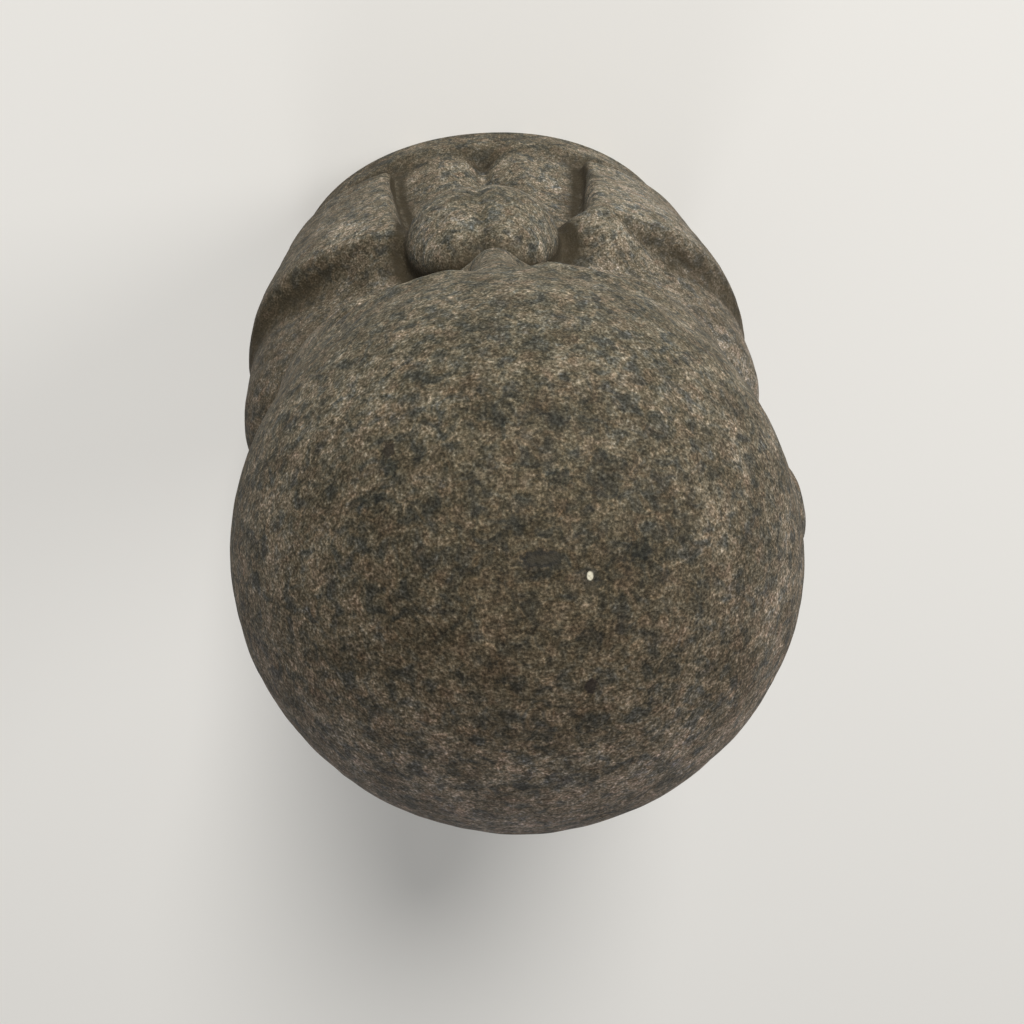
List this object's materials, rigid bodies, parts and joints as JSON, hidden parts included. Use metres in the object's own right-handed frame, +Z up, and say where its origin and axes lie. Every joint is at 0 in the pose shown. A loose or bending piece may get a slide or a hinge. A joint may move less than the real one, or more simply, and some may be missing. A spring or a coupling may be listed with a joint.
{
  "type": "stone jizo statue",
  "caption": "Small one-piece carved stone praying monk figure with a large bald bowed head, wide sleeves, joined hands and a low oval base",
  "frame": {"origin": "middle of the flat underside, on the surface the statue stands on", "axes": "+Z up to the crown, the figure faces -Y, +X to the figure's left"},
  "size_m": [0.0704, 0.0592, 0.1202],
  "materials": {
    "stone": "fine-grained grey-brown speckled stone, worked smooth and left matt"
  },
  "bodies": {
    "root": {"jizo_statue": "stone"}
  },
  "joints": []
}
